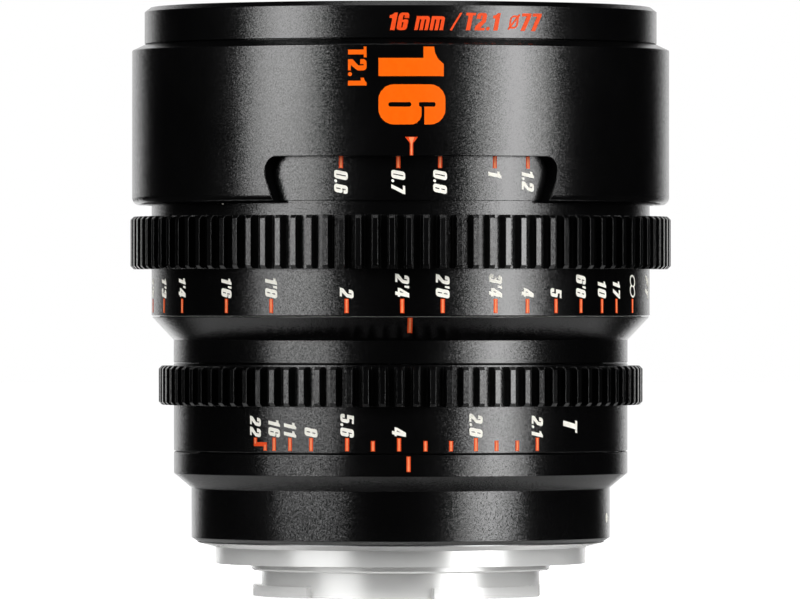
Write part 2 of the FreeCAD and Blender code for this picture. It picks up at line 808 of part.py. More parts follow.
def front_baffle():
    """Return the stepped baffle between the filter thread and the front glass."""
    outer = front_skirt_bore
    rim_top = filter_bottom - baffle_recess
    lip_radius = front_rim - baffle_lip_overlap
    floor_bottom = front_retainer_span()[1] + travel_forward + baffle_clearance
    floor_top = floor_bottom + baffle_wall
    step_height = (rim_top - floor_top) / baffle_steps
    rim_edge = outer - baffle_skirt_wall / 2.0
    step_width = (rim_edge - lip_radius - baffle_floor_width) / (baffle_steps - 1)
    skirt_bottom = floor_bottom - baffle_skirt_length
    skirt_bore = outer - baffle_skirt_wall
    outline = [(skirt_bore, skirt_bottom), (outer, skirt_bottom), (outer, rim_top)]
    for index in range(baffle_steps):
        edge = rim_edge - index * step_width
        outline.append((edge, rim_top - index * step_height))
        outline.append((edge, rim_top - (index + 1) * step_height))
    outline += [(lip_radius, floor_top), (lip_radius, floor_bottom), (skirt_bore, floor_bottom)]
    return turned(outline)


def rear_plate_screws():
    """Return the screws that hold the rear group to the lens carrier."""
    circle = (carrier_bore + carrier_radius) / 2.0
    return pegs(rear_plate_screw_count, rear_plate_screw_radius, rear_plate_bottom,
                carrier_bottom + rear_plate_screw_grip, circle)


def lens_carrier():
    """Return the sliding tube that carries both lens groups and the iris."""
    stop_top = carrier_stop_bottom + carrier_stop_height
    seat_bottom = carrier_seat_top - carrier_seat_height
    body = turned([
        (carrier_bore, carrier_bottom), (carrier_radius, carrier_bottom),
        (carrier_radius, cell_bottom), (carrier_bore, cell_bottom),
        (carrier_bore, carrier_seat_top), (carrier_seat_bore, carrier_seat_top),
        (carrier_seat_bore, seat_bottom), (cam_bore_radius, seat_bottom),
        (cam_bore_radius, stop_top), (carrier_stop_bore, stop_top),
        (carrier_stop_bore, carrier_stop_bottom), (cam_bore_radius, carrier_stop_bottom),
        (cam_bore_radius, iris_plate_top), (carrier_bore, iris_plate_top),
    ])
    reach = drive_pin_radius + ring_gap
    pin_slot = drive_slot(cam_radius - ring_gap, guide_bore, drive_pin_height - reach - travel_forward,
                          drive_pin_height + reach + travel_back)
    return body.cut(focus_keys() + [pin_slot] + rear_plate_screws())


def front_group_parts():
    """Return the front cell, the front group barrel, their glass and the rings that hold it."""
    glass_2_front = front_flat(front_glass_top, glass_2)
    glass_3_front = front_flat(front_glass_top, glass_3)
    glass_5_back = rear_flat(front_glass_top, glass_5)
    retainer_bottom, retainer_top = front_retainer_span()
    clamp_bore = wide_rim - front_retainer_width
    spacer_bore = glass_2[5] + retainer_clearance
    ring_bore_5 = glass_5[5] + retainer_clearance
    opening = glass_front_1[5] + joint_overlap
    cell = turned([
        (opening, cell_floor), (opening, cell_bottom), (clamp_bore, cell_bottom),
        (clamp_bore, glass_2_front), (wide_rim, glass_2_front), (wide_rim, cell_bottom),
        (front_rim + cell_wall, cell_bottom), (front_rim + cell_wall, retainer_top),
        (front_rim, retainer_top), (front_rim, cell_floor),
    ])
    tail_bottom = glass_5_back - retainer_height - barrel_end_margin
    step = glass_4_seat - group_wall
    barrel = turned([
        (inner_rim, tail_bottom), (inner_rim + group_wall, tail_bottom), (inner_rim + group_wall, step),
        (step_rim + group_wall, step), (step_rim + group_wall, carrier_seat_top),
        (carrier_bore, carrier_seat_top), (carrier_bore, cell_bottom), (wide_rim, cell_bottom),
        (wide_rim, glass_2_seat), (step_rim, glass_2_seat), (step_rim, glass_4_seat),
        (glass_4[5] + joint_overlap, glass_4_seat), (glass_4[5] + joint_overlap, glass_5_seat),
        (inner_rim, glass_5_seat),
    ])
    parts = {
        "front_cell": cell,
        "front_retaining_ring": tube(front_rim - front_retainer_width, front_rim,
                                     retainer_bottom, retainer_top),
        "front_group_barrel": barrel,
        "front_spacer": tube(spacer_bore, step_rim, glass_3_front, glass_2_seat),
        "middle_retaining_ring": tube(ring_bore_5, inner_rim,
                                      glass_5_back - retainer_height, glass_5_back),
    }
    for number, element in enumerate(front_elements, 1):
        parts["lens_element_" + str(number)] = glass(front_glass_top, element)
    return parts


def rear_group_parts():
    """Return the rear group barrel with its plate, its glass, spacers, ring and screws."""
    outer = rear_rim + cell_wall
    glass_7_back = rear_flat(rear_glass_top, glass_7)
    glass_8_front = front_flat(rear_glass_top, glass_8)
    glass_8_back = rear_flat(rear_glass_top, glass_8)
    glass_9_front = front_flat(rear_glass_top, glass_9)
    glass_9_back = rear_flat(rear_glass_top, glass_9)
    ring_bottom = glass_9_back - retainer_height
    barrel_bottom = ring_bottom - barrel_end_margin
    opening = glass_6[4] + glass_shoulder
    spacer_bore = glass_8[5] + retainer_clearance
    barrel = turned([
        (rear_rim, barrel_bottom), (outer, barrel_bottom), (outer, rear_plate_bottom),
        (carrier_radius, rear_plate_bottom), (carrier_radius, carrier_bottom),
        (carrier_bore, carrier_bottom), (carrier_bore, iris_plate_bottom),
        (opening, iris_plate_bottom), (opening, rear_shoulder), (rear_rim, rear_shoulder),
    ])
    parts = {
        "rear_group_barrel": barrel.cut(rear_plate_screws()),
        "rear_group_screws": Part.makeCompound(rear_plate_screws()),
        "rear_spacer": tube(spacer_bore, rear_rim, glass_8_front, glass_7_back),
        "field_spacer": tube(spacer_bore, rear_rim, glass_9_front, glass_8_back),
        "rear_retaining_ring": tube(spacer_bore, rear_rim, ring_bottom, glass_9_back),
    }
    for number, element in enumerate(rear_elements, len(front_elements) + 1):
        parts["lens_element_" + str(number)] = glass(rear_glass_top, element)
    return parts


def spun(point, angle, centre=Vector(0, 0, 0)):
    """Return a point turned about a centre, parallel to the axis."""
    arm = point - centre
    turn = math.radians(angle)
    across = arm.x * math.cos(turn) - arm.y * math.sin(turn)
    along = arm.x * math.sin(turn) + arm.y * math.cos(turn)
    return Vector(centre.x + across, centre.y + along, point.z)


blade_pivot = ray(blade_pivot_angle, blade_pivot_radius)
blade_drive = blade_pivot - Vector(0, blade_lever, 0)


def blade_plate():
    """Return a flat blade in its open place, with its pivot on +X and its tip ahead of it."""
    inner = iris_open_radius + blade_edge_margin
    outer = inner + blade_width
    middle = (inner + outer) / 2.0
    crescent = tube(inner, outer, 0, blade_thickness, blade_pivot_angle, blade_reach)
    tip = peg(blade_width / 2.0, 0, blade_thickness, blade_pivot_angle + blade_reach, middle)
    ear = Part.makeCylinder(blade_ear_radius, blade_thickness, blade_pivot)
    neck = Part.makeBox(blade_pivot_radius - middle, 2.0 * blade_ear_radius, blade_thickness,
                        Vector(middle, -blade_ear_radius, 0))
    lever = Part.makeBox(blade_lever_width, blade_lever, blade_thickness,
                         blade_drive - Vector(blade_lever_width / 2.0, 0, 0))
    lever_end = Part.makeCylinder(blade_lever_width / 2.0, blade_thickness, blade_drive)
    return crescent.fuse([tip, ear, neck, lever, lever_end]).removeSplitter()


def iris_blade(number):
    """Return one blade at its own level, with its pivot pin below and its drive pin above."""
    level = blade_bottom + number * blade_pitch
    plate = blade_plate()
    plate.translate(Vector(0, 0, level))
    pivot_bottom = iris_plate_bottom + blade_gap
    pivot = Part.makeCylinder(blade_pivot_pin_radius, level - pivot_bottom,
                              blade_pivot + Vector(0, 0, pivot_bottom))
    drive_top = cam_plate_top - blade_gap
    drive = Part.makeCylinder(blade_drive_pin_radius, drive_top - level,
                              blade_drive + Vector(0, 0, level))
    blade = plate.fuse([pivot, drive]).removeSplitter()
    blade.rotate(blade_pivot, Vector(0, 0, 1), aperture_from_open * blade_ratio)
    return blade.rotate(Vector(0, 0, 0), Vector(0, 0, 1), number * 360.0 / blade_count)


def cam_point(turn):
    """Return where a drive pin stands on the cam ring once the ring has turned from fully open."""
    pin = spun(blade_drive, turn * blade_ratio, blade_pivot)
    return spun(pin, aperture_from_open - turn)


def cam_slot():
    """Return the cutter for the slot that one blade's drive pin follows in the cam ring."""
    half = blade_drive_pin_radius + blade_pin_clearance
    first = -cam_slot_spare_angle
    last = aperture_throw + cam_slot_spare_angle
    sides = ([], [])
    for index in range(cam_slot_points):
        turn = first + (last - first) * index / (cam_slot_points - 1)
        centre = cam_point(turn)
        along = cam_point(turn + cam_slot_tangent_angle) - cam_point(turn - cam_slot_tangent_angle)
        along.normalize()
        normal = Vector(-along.y, along.x, 0)
        sides[0].append(centre + normal * half)
        sides[1].append(centre - normal * half)
    edges = []
    for side in sides:
        curve = Part.BSplineCurve()
        curve.interpolate(side)
        edges.append(curve.toShape())
    edges.append(Part.makeLine(sides[0][-1], sides[1][-1]))
    edges.append(Part.makeLine(sides[0][0], sides[1][0]))
    face = Part.Face(Part.Wire(Part.__sortEdges__(edges)))
    slot = face.extrude(Vector(0, 0, cam_plate_height + 2.0 * blade_gap))
    slot.translate(Vector(0, 0, cam_bottom - blade_gap))
    return slot


def iris_parts():
    """Return the iris plate, the cam ring and the blades."""
    plate = tube(iris_open_radius, carrier_bore, iris_plate_bottom, iris_plate_top)
    hole = blade_pivot_pin_radius + blade_pin_clearance
    plate = plate.cut(pegs(blade_count, hole, iris_plate_bottom, iris_plate_top,
                           blade_pivot_radius, blade_pivot_angle))
    rim_bore = cam_radius - cam_rim_wall
    cam = turned([
        (cam_bore, cam_bottom), (cam_radius, cam_bottom), (cam_radius, cam_top),
        (rim_bore, cam_top), (rim_bore, cam_plate_top), (cam_bore, cam_plate_top),
    ])
    fork_half = drive_pin_radius + running_clearance
    fork_bottom = drive_pin_height - drive_pin_radius - travel_forward - ring_gap
    fork = Part.makeBox(2.0 * fork_half, cam_rim_wall + 2.0 * joint_overlap,
                        cam_top - fork_bottom + joint_overlap,
                        Vector(-fork_half, -cam_radius - joint_overlap, fork_bottom))
    fork.rotate(Vector(0, 0, 0), Vector(0, 0, 1), drive_pin_angle)
    slots = []
    for number in range(blade_count):
        slot = cam_slot()
        slots.append(slot.rotate(Vector(0, 0, 0), Vector(0, 0, 1), number * 360.0 / blade_count))
    parts = {"iris_plate": plate, "iris_cam_ring": cam.cut(slots + [fork])}
    for number in range(blade_count):
        parts["iris_blade_" + str(number + 1)] = iris_blade(number)
    return parts


def build():
    """Return every node of the lens by name."""
    nodes = {}
    nodes.update(rear_parts())
    nodes.update(aperture_parts())
    nodes.update(focus_index_parts())
    nodes.update(focus_parts())
    nodes["focus_nut"] = focus_nut()
    nodes["focus_keys"] = Part.makeCompound(focus_keys())
    nodes["guide_barrel"] = guide_barrel()
    nodes.update(front_parts())
    nodes["lens_carrier"] = lens_carrier()
    nodes.update(front_group_parts())
    nodes.update(rear_group_parts())
    nodes.update(iris_parts())
    return nodes


os.makedirs("parts", exist_ok=True)
for name, shape in build().items():
    shape.exportStep(os.path.join("parts", name + ".step"))
    print(name, "solids", len(shape.Solids), "volume", round(shape.Volume, 2))
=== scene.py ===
"""Looks, light and camera for the wide prime lens, in metres, in the frame of the CAD model.

The optical axis is +Z. Angles round it are degrees from -Y, growing towards +X.
"""
import math

import bmesh
import bpy
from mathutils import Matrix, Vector
from mathutils.geometry import tessellate_polygon


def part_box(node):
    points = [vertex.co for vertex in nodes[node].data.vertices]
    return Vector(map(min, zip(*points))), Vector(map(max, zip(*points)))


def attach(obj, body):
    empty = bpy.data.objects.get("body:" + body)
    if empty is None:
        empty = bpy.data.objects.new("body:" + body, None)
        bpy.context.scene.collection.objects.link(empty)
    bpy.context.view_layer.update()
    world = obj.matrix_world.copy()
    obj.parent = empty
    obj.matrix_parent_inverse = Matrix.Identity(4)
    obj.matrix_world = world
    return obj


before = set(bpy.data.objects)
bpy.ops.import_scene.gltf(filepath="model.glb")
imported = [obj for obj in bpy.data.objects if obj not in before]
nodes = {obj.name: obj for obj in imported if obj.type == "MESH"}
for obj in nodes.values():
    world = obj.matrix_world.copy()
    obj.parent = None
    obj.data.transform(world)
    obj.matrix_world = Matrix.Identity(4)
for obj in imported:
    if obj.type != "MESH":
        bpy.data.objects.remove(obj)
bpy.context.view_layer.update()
mm = 0.001

# Camera
photo_width = 0.125
camera_distance = 1.5625
camera_height = 0.0461
camera_side = -0.0001
sensor_width = 36.0
near_clip = 0.01
far_clip = 20.0

# Strip lights in front of the lens: azimuth from -Y, lower edge, how far that edge fades, brightness
strip_lights = {
    "strip_left": (-49.7, -0.012, 0.15, 9.4),
    "strip_right": (47.8, -0.04, 0.06, 9.7),
}
strip_distance = 0.45
strip_width = 0.35
strip_top = 0.42
strip_layers = 4
top_light_height = 1.2
top_light_size = 0.8
top_light_brightness = 1.2
filled_share = {"RECTANGLE": 1.0, "ELLIPSE": math.pi / 4}
front_fill = 0.008
back_way = (-0.03, 1.0, 0.0)
back_ramp = (0.755, 0.945)
floor_glow = 0.72
floor_dark = 0.02
floor_white = 0.9
floor_edge = (-0.04, -0.028)
floor_near = (0.09, 0.07)
floor_front = -0.12
floor_back = 4.0
floor_half = 1.5
floor_level = -0.05 * mm
floor_roughness = 0.9
floor_specular = 0.1

# Radii and heights read from the frame
shell_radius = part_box("front_shell")[1][0]
collar_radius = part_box("rear_barrel")[1][0]
front_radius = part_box("front_ring")[1][0]
cone_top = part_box("focus_index_ring")[1][2]
front_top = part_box("front_ring")[1][2]

# Radii of the other faces that carry paint or the thread, and the height of the cone's foot
feet_band_radius = 38.9 * mm
metre_band_radius = 39.4 * mm
rear_radius = 32.7 * mm
cone_bottom = 39.9 * mm
cone_radius = 38.85 * mm
filter_radius = 38.1 * mm

# Paint
proud = 0.03 * mm
# The painted highlight strip down each tick stands proudest.
highlight_proud = 0.05 * mm
sunk = 0.02 * mm
strip_step = 0.8 * mm

# Surfaces
edge_radius = 0.1 * mm
edge_samples = 4
grain_scale = 5500.0
grain_detail = 1.0
gloss_patch_scale = 90.0
lathe_scale = 9000.0
lathe_depth = 0.01 * mm
metal_cloud_scale = 120.0
mould_cloud_scale = 300.0
mould_scale = 2500.0
mould_strength = 0.2
paint_scale = 1800.0
paint_strength = 0.15
texture_depth = 0.02 * mm
dust_scale = 3000.0
dust_share = (0.6, 0.9)
dust_roughness = (0.0, 0.02)
black_specular = 0.64
paint_specular = 0.12
paint_roughness = (0.4, 0.55)
glass_index = 1.6
coating_index = 1.38
coating_thickness = 105.0

# Small numerals and marks
numeral_height = 2.12 * mm
numeral_slant = 0.2
tick_width = 0.62 * mm
# Painted highlight down each tick: its share of the tick's width, and its inset from the tick's ends.
highlight_share = 0.45
highlight_inset = 0.08 * mm
unit_height = 2.6 * mm

# Focus scale: the ring's angle for a distance, and the rows of ticks and numerals
infinity_angle = 67.22
angle_gain = 42.94
near_offset = 0.069
foot = 0.3048
metre_shift = 0.3
metre_tick_top = 68.0 * mm
metre_tick_bottom = 66.2 * mm
metre_numeral_top = 66.0 * mm
feet_tick_top = 46.28 * mm
feet_tick_bottom = 44.1 * mm
feet_numeral_bottom = 46.5 * mm
unit_angle = 80.0
metre_marks = ("0.22", "0.25", "0.3", "0.35", "0.4", "0.45", "0.5", "0.6", "0.7", "0.8",
               "1", "1.2", "1.5", "2", "3", "5")
feet_marks = ("0'9", "0'10", "0'11", "1", "1'1", "1'2", "1'3", "1'4", "1'6", "1'8", "2",
              "2'4", "2'8", "3'4", "4", "5", "6'8", "10", "17")

# Aperture scale
aperture_marks = (("2.1", 36.25), ("2.8", 18.95), ("4", -0.4), ("5.6", -13.35), ("8", -22.75),
                  ("11", -28.55), ("16", -33.15))
aperture_half_stops = (-6.85, 6.15, 12.55, 24.45, 30.25)
aperture_foot_angle = -35.85
aperture_last_angle = -38.95
aperture_tick_top = 25.0 * mm
aperture_short_top = 24.56 * mm
aperture_tick_bottom = 22.97 * mm
aperture_numeral_bottom = 25.2 * mm
aperture_unit_angle = 47.4
aperture_unit_top = 28.1 * mm
aperture_unit_height = 3.2 * mm

# Index marks
focus_index_angle = 2.15
focus_index_top = 43.4 * mm
focus_index_bottom = 41.06 * mm
focus_index_width = 0.75 * mm
aperture_index_angle = 1.95
aperture_index_top = 22.2 * mm
aperture_index_bottom = 19.83 * mm
window_index_angle = 2.25
window_index_top = 70.9 * mm
window_index_neck = 69.95 * mm
window_index_bottom = 68.1 * mm
window_index_width = 1.95 * mm
window_index_stem = 0.5 * mm

# Large numerals on the shell
focal_angle = -4.6
focal_top = 84.65 * mm
focal_gap = 1.25 * mm
stop_angle = -9.05
stop_height = 2.85 * mm
stop_top = 84.65 * mm

# Front ring lettering
ring_text_height = 2.66 * mm
ring_text_bottom = 87.2 * mm
ring_words = (("16", -2.95), ("mm", 2.95), ("/", 10.75), ("T2.1", 13.75), ("\u00d8", 24.05),
              ("77", 26.95))

# Mounting mark on the rear barrel
mount_mark_angle = 78.5
mount_mark_height = 12.2 * mm
mount_mark_radius = 0.75 * mm
mount_mark_rounding = 0.99

# Filter thread
thread_pitch = 0.75 * mm
thread_turns = 4.6
thread_depth = 0.22 * mm
thread_steps = 180
thread_fade_steps = 20
thread_foot_share = 0.9

# Glyphs, in units of their height
glyph_width = 0.6
glyph_waist = 0.515
stem = 0.262
bar = 0.147
outer_round = 0.18
inner_round = 0.036
glyph_gap = 0.09
wide_gap = 0.18
arc_steps = 5
oval_width = 0.92
oval_shift = 0.72
oval_stroke = 0.13
oval_steps = 24


def block(left, low, right, high, radius):
    """Return the corners of a rounded rectangle."""
    return [(left, low, radius), (right, low, radius), (right, high, radius), (left, high, radius)]


def flipped(outlines):
    """Return outlines turned by half a turn within the glyph's cell."""
    return [[(glyph_width - x, 1.0 - y, radius) for x, y, radius in outline] for outline in outlines]


def oval(centre, inset):
    """Return the points of an upright oval, as corners without rounding."""
    across = oval_width / 2 - inset
    along = 0.5 - inset
    turns = [2 * math.pi * step / oval_steps for step in range(oval_steps)]
    return [(centre + across * math.cos(turn), 0.5 + along * math.sin(turn), 0) for turn in turns]


def infinity_sign():
    """Return two ovals that join side by side, with their holes."""
    first = oval_width / 2
    second = first + oval_shift
    middle = (first + second) / 2
    left = [corner for corner in oval(first, 0) if corner[0] < middle]
    right = [corner for corner in oval(second, 0) if corner[0] > middle]
    low = [corner for corner in right if corner[1] < 0.5]
    high = [corner for corner in right if corner[1] >= 0.5]
    return [left + low + high, oval(first, oval_stroke), oval(second, oval_stroke)]


def make_glyphs():
    """Return each glyph's outlines, an edge and its holes, and each glyph's width."""
    w, v, h, ro, ri, waist = glyph_width, stem, bar, outer_round, inner_round, glyph_waist
    s = w - v
    six = [
        [(0, 0, ro), (w, 0, ro), (w, 0.63, 0.14), (s, 0.62, 0), (s, 0.59, 0), (v, 0.59, 0),
         (v, 1 - h, ri), (s, 1 - h, ri), (s, 0.69, 0), (w, 0.69, 0), (w, 1, ro), (0, 1, ro)],
        block(v, h, s, 0.47, ri),
    ]
    glyphs = {
        "0": [block(0, 0, w, 1, ro), block(v, h, s, 1 - h, ri)],
        "1": [[(0.16, 0, 0), (0.42, 0, 0), (0.42, 1, 0), (0.25, 1, 0), (0.18, 0.92, 0.07),
               (0.09, 0.87, 0.05), (0, 0.86, 0), (0, 0.69, 0), (0.16, 0.69, 0)]],
        "2": [[(0, 0, 0), (w, 0, 0), (w, h, 0), (0.31, h, 0), (w, 0.5, 0.15), (w, 1, ro), (0, 1, ro),
               (0, 0.66, 0), (v, 0.66, 0), (v, 1 - h, ri), (s, 1 - h, ri), (s, 0.56, 0.06),
               (0, 0.24, 0.08)]],
        "3": [[(0, 0, ro), (w, 0, ro), (w, 0.48, 0.08), (w - 0.05, 0.505, 0), (w, 0.53, 0.08),
               (w, 1, ro), (0, 1, ro), (0, 0.68, 0), (v, 0.68, 0), (v, 1 - h, ri), (s, 1 - h, ri),
               (s, 0.58, ri), (0.18, 0.58, 0), (0.18, 0.43, 0), (s, 0.43, ri), (s, h, ri),
               (v, h, ri), (v, 0.32, 0), (0, 0.32, 0)]],
        "4": [[(0.29, 0, 0), (0.54, 0, 0), (0.54, 0.18, 0), (0.63, 0.18, 0), (0.63, 0.34, 0),
               (0.54, 0.34, 0), (0.54, 1, 0), (0.24, 1, 0), (0, 0.38, 0), (0, 0.18, 0), (0.29, 0.18, 0)],
              [(0.19, 0.34, 0), (0.29, 0.34, 0), (0.29, 0.62, 0)]],
        "5": [[(0, 0, ro), (w, 0, ro), (w, 0.66, ro), (v, 0.66, 0), (v, 1 - h, 0), (w - 0.03, 1 - h, 0),
               (w - 0.03, 1, 0), (0, 1, 0), (0, 0.5, 0), (s, 0.5, ri), (s, h, ri), (v, h, ri),
               (v, 0.32, 0), (0, 0.32, 0)]],
        "6": six,
        "7": [[(0.07, 0, 0), (0.34, 0, 0), (w, 0.84, 0), (w, 1, 0), (0, 1, 0), (0, 0.83, 0),
               (0.32, 0.83, 0)]],
        "8": [[(0, 0, ro), (w, 0, ro), (w, waist - 0.025, 0.07), (w - 0.035, waist, 0),
               (w, waist + 0.025, 0.07), (w, 1, ro), (0, 1, ro), (0, waist + 0.025, 0.07),
               (0.035, waist, 0), (0, waist - 0.025, 0.07)],
              block(v, h, s, waist - h / 2, ri), block(v, waist + h / 2, s, 1 - h, ri)],
        "9": flipped(six),
        ".": [block(0, 0, 0.21, 0.21, 0.1)],
        "'": [[(0.05, 0.66, 0.03), (0.17, 0.66, 0.03), (0.21, 1, 0.05), (0.01, 1, 0.05)]],
        "T": [[(0.16, 0, 0), (0.42, 0, 0), (0.42, 1 - h, 0), (0.58, 1 - h, 0), (0.58, 1, 0), (0, 1, 0),
               (0, 1 - h, 0), (0.16, 1 - h, 0)]],
        "F": [[(0, 0, 0), (v, 0, 0), (v, 0.4, 0), (0.46, 0.4, 0), (0.46, 0.56, 0), (v, 0.56, 0),
               (v, 1 - h, 0), (0.54, 1 - h, 0), (0.54, 1, 0), (0, 1, 0)]],
        "M": [[(0, 0, 0), (0.22, 0, 0), (0.22, 0.52, 0), (0.4, 0.1, 0), (0.58, 0.52, 0), (0.58, 0, 0),
               (0.8, 0, 0), (0.8, 1, 0), (0.58, 1, 0), (0.4, 0.56, 0), (0.22, 1, 0), (0, 1, 0)]],
        "m": [[(0, 0, 0), (0.2, 0, 0), (0.2, 0.62, ri), (0.29, 0.62, ri), (0.29, 0, 0), (0.49, 0, 0),
               (0.49, 0.62, ri), (0.58, 0.62, ri), (0.58, 0, 0), (0.78, 0, 0), (0.78, 0.8, ro),
               (0, 0.8, 0)]],
        "/": [[(0, 0, 0), (0.13, 0, 0), (0.55, 1, 0), (0.42, 1, 0)]],
        "\u00d8": [[(0.62, 0.1, 0.26), (0.57, 0.78, 0), (0.64, 0.91, 0), (0.57, 0.96, 0), (0.48, 0.87, 0),
                    (0, 0.9, 0.26), (0.05, 0.22, 0), (-0.02, 0.09, 0), (0.05, 0.04, 0), (0.14, 0.13, 0)],
                   [(0.14, 0.35, 0), (0.42, 0.77, 0), (0.14, 0.77, 0.1)],
                   [(0.2, 0.23, 0), (0.48, 0.23, 0.1), (0.48, 0.65, 0)]],
        "infinity": infinity_sign(),
    }
    widths = {name: max(corner[0] for corner in outlines[0]) for name, outlines in glyphs.items()}
    return glyphs, widths


glyphs, glyph_widths = make_glyphs()


def rounded(corners):
    """Return a flat outline's points, with each corner (x, y, radius) rounded."""
    points = []
    for index, (x, y, radius) in enumerate(corners):
        corner = Vector((x, y, 0))
        if not radius:
            points.append(corner)
            continue
        back = (Vector(corners[index - 1][:2]).to_3d() - corner).normalized()
        ahead = (Vector(corners[(index + 1) % len(corners)][:2]).to_3d() - corner).normalized()
        half = back.angle(ahead) / 2
        centre = corner + (back + ahead).normalized() * radius / math.sin(half)
        start = corner + back * radius / math.tan(half) - centre
        end = corner + ahead * radius / math.tan(half) - centre
        for step in range(arc_steps + 1):
            points.append(centre + start.lerp(end, step / arc_steps).normalized() * radius)
    return points


def fill(sheet, outlines):
    """Fill the area between an outline and its holes."""
    corners = [sheet.verts.new(point) for outline in outlines for point in outline]
    for triangle in tessellate_polygon(outlines):
        sheet.faces.new([corners[index] for index in triangle])


def text_sheet(text, height, slant, gap=glyph_gap):
    """Return a flat sheet of glyphs that starts at the origin, and its length."""
    sheet = bmesh.new()
    start = 0.0
    names = [text] if text in glyphs else list(text)
    for name in names:
        outlines = []
        for outline in glyphs[name]:
            points = [Vector(((start + p.x + slant * p.y) * height, p.y * height, 0))
                      for p in rounded(outline)]
            outlines.append(points)
        fill(sheet, outlines)
        start += glyph_widths[name] + gap
    return sheet, (start - gap) * height


def shape_sheet(outlines):
    """Return a flat sheet from outlines in metres."""
    sheet = bmesh.new()
    for outline in outlines:
        fill(sheet, [rounded(outline)])
    return sheet


def sliced(sheet, step):
    """Cut a flat sheet into strips, so that it bends smoothly round the lens."""
    heights = [vert.co.y for vert in sheet.verts]
    level = min(heights) + step
    while level < max(heights):
        parts = sheet.verts[:] + sheet.edges[:] + sheet.faces[:]
        bmesh.ops.bisect_plane(sheet, geom=parts, plane_co=(0, level, 0), plane_no=(0, 1, 0))
        level += step
    return sheet


def bend(sheet, radius_at, angle, height, lift=proud):
    """Give a flat sheet thickness and lay it on the lens: x runs down it and y runs round it."""
    geometry = sheet.faces[:]
    result = bmesh.ops.extrude_face_region(sheet, geom=geometry, use_keep_orig=True)
    raised = {part for part in result["geom"] if isinstance(part, bmesh.types.BMVert)}
    for vert in sheet.verts:
        z = height - vert.co.x
        face = radius_at(z)
        turn = math.radians(angle) + vert.co.y / face
        radius = face + (lift if vert in raised else -sunk)
        vert.co = Vector((radius * math.sin(turn), -radius * math.cos(turn), z))
    bmesh.ops.recalc_face_normals(sheet, faces=sheet.faces[:])


def turned_quarter(sheet):
    """Turn a flat sheet so that its text runs round the lens instead of down it."""
    for vert in sheet.verts:
        vert.co = Vector((-vert.co.y, vert.co.x, 0))


def add_piece(name, sheet, material, body):
    """Make an object from a sheet and let it ride on a body."""
    mesh = bpy.data.meshes.new(name)
    sheet.to_mesh(mesh)
    sheet.free()
    mesh.materials.append(material)
    piece = bpy.data.objects.new(name, mesh)
    bpy.context.scene.collection.objects.link(piece)
    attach(piece, body)
    return piece


def merged(sheets):
    """Return one sheet that holds all the given ones."""
    whole = bmesh.new()
    for sheet in sheets:
        mesh = bpy.data.meshes.new("part")
        sheet.to_mesh(mesh)
        sheet.free()
        whole.from_mesh(mesh)
        bpy.data.meshes.remove(mesh)
    return whole


def new_material(name):
    """Return a material and its node tree and shader."""
    material = bpy.data.materials.new(name)
    material.use_nodes = True
    tree = material.node_tree
    return material, tree, tree.nodes["Principled BSDF"]


def add_node(tree, kind, settings=(), **inputs):
    """Add a node, with its settings and its input values."""
    node = tree.nodes.new(kind)
    for key, value in dict(settings).items():
        setattr(node, key, value)
    for key, value in inputs.items():
        node.inputs[key.replace("_", " ")].default_value = value
    return node


def set_shader(shader, **inputs):
    """Set the shader's own sockets."""
    for key, value in inputs.items():
        shader.inputs[key.replace("_", " ")].default_value = value


def object_place(tree):
    """Return the socket that gives a point's place on the object, in metres."""
    return tree.nodes.new("ShaderNodeTexCoord").outputs["Object"]


def calculated(tree, operation, first, second):
    """Return what an operation makes of two values."""
    node = add_node(tree, "ShaderNodeMath", {"operation": operation})
    tree.links.new(first, node.inputs[0])
    tree.links.new(second, node.inputs[1])
    return node.outputs[0]


def turned_place(tree):
    """Return a place that only varies along the axis and outward, as a lathe's marks do."""
    place = tree.nodes.new("ShaderNodeSeparateXYZ")
    tree.links.new(object_place(tree), place.inputs[0])
    flat = tree.nodes.new("ShaderNodeCombineXYZ")
    tree.links.new(place.outputs["X"], flat.inputs["X"])
    tree.links.new(place.outputs["Y"], flat.inputs["Y"])
    outward = add_node(tree, "ShaderNodeVectorMath", {"operation": "LENGTH"})
    tree.links.new(flat.outputs[0], outward.inputs[0])
    joined = tree.nodes.new("ShaderNodeCombineXYZ")
    tree.links.new(outward.outputs["Value"], joined.inputs["X"])
    tree.links.new(place.outputs["Z"], joined.inputs["Z"])
    return joined.outputs[0]


def noise(tree, place, scale, detail=2.0, roughness=0.5):
    """Return the value of a noise texture at a place."""
    node = add_node(tree, "ShaderNodeTexNoise", Scale=scale, Detail=detail, Roughness=roughness)
    tree.links.new(place, node.inputs["Vector"])
    return node.outputs["Fac"]


def ranged(tree, value, low, high, start=0.3, end=0.7):
    """Return a value stretched from one range to another."""
    node = tree.nodes.new("ShaderNodeMapRange")
    for key, number in (("From Min", start), ("From Max", end), ("To Min", low), ("To Max", high)):
        node.inputs[key].default_value = number
    tree.links.new(value, node.inputs["Value"])
    return node.outputs["Result"]


def blended(tree, value, first, second):
    """Return a colour between two colours."""
    node = add_node(tree, "ShaderNodeMix", {"data_type": "RGBA"})
    for socket in node.inputs:
        if socket.name in "AB" and socket.type == "RGBA":
            socket.default_value = (*(first if socket.name == "A" else second), 1.0)
    tree.links.new(value, node.inputs["Factor"])
    return [socket for socket in node.outputs if socket.type == "RGBA"][0]


def bumped(tree, shader, value, distance, strength, edge=0.0):
    """Raise the surface by a value, over edges that are broken by a small radius where one is given."""
    node = add_node(tree, "ShaderNodeBump", Distance=distance, Strength=strength)
    tree.links.new(value, node.inputs["Height"])
    if edge:
        soft = add_node(tree, "ShaderNodeBevel", {"samples": edge_samples}, Radius=edge)
        tree.links.new(soft.outputs["Normal"], node.inputs["Normal"])
    tree.links.new(node.outputs["Normal"], shader.inputs["Normal"])


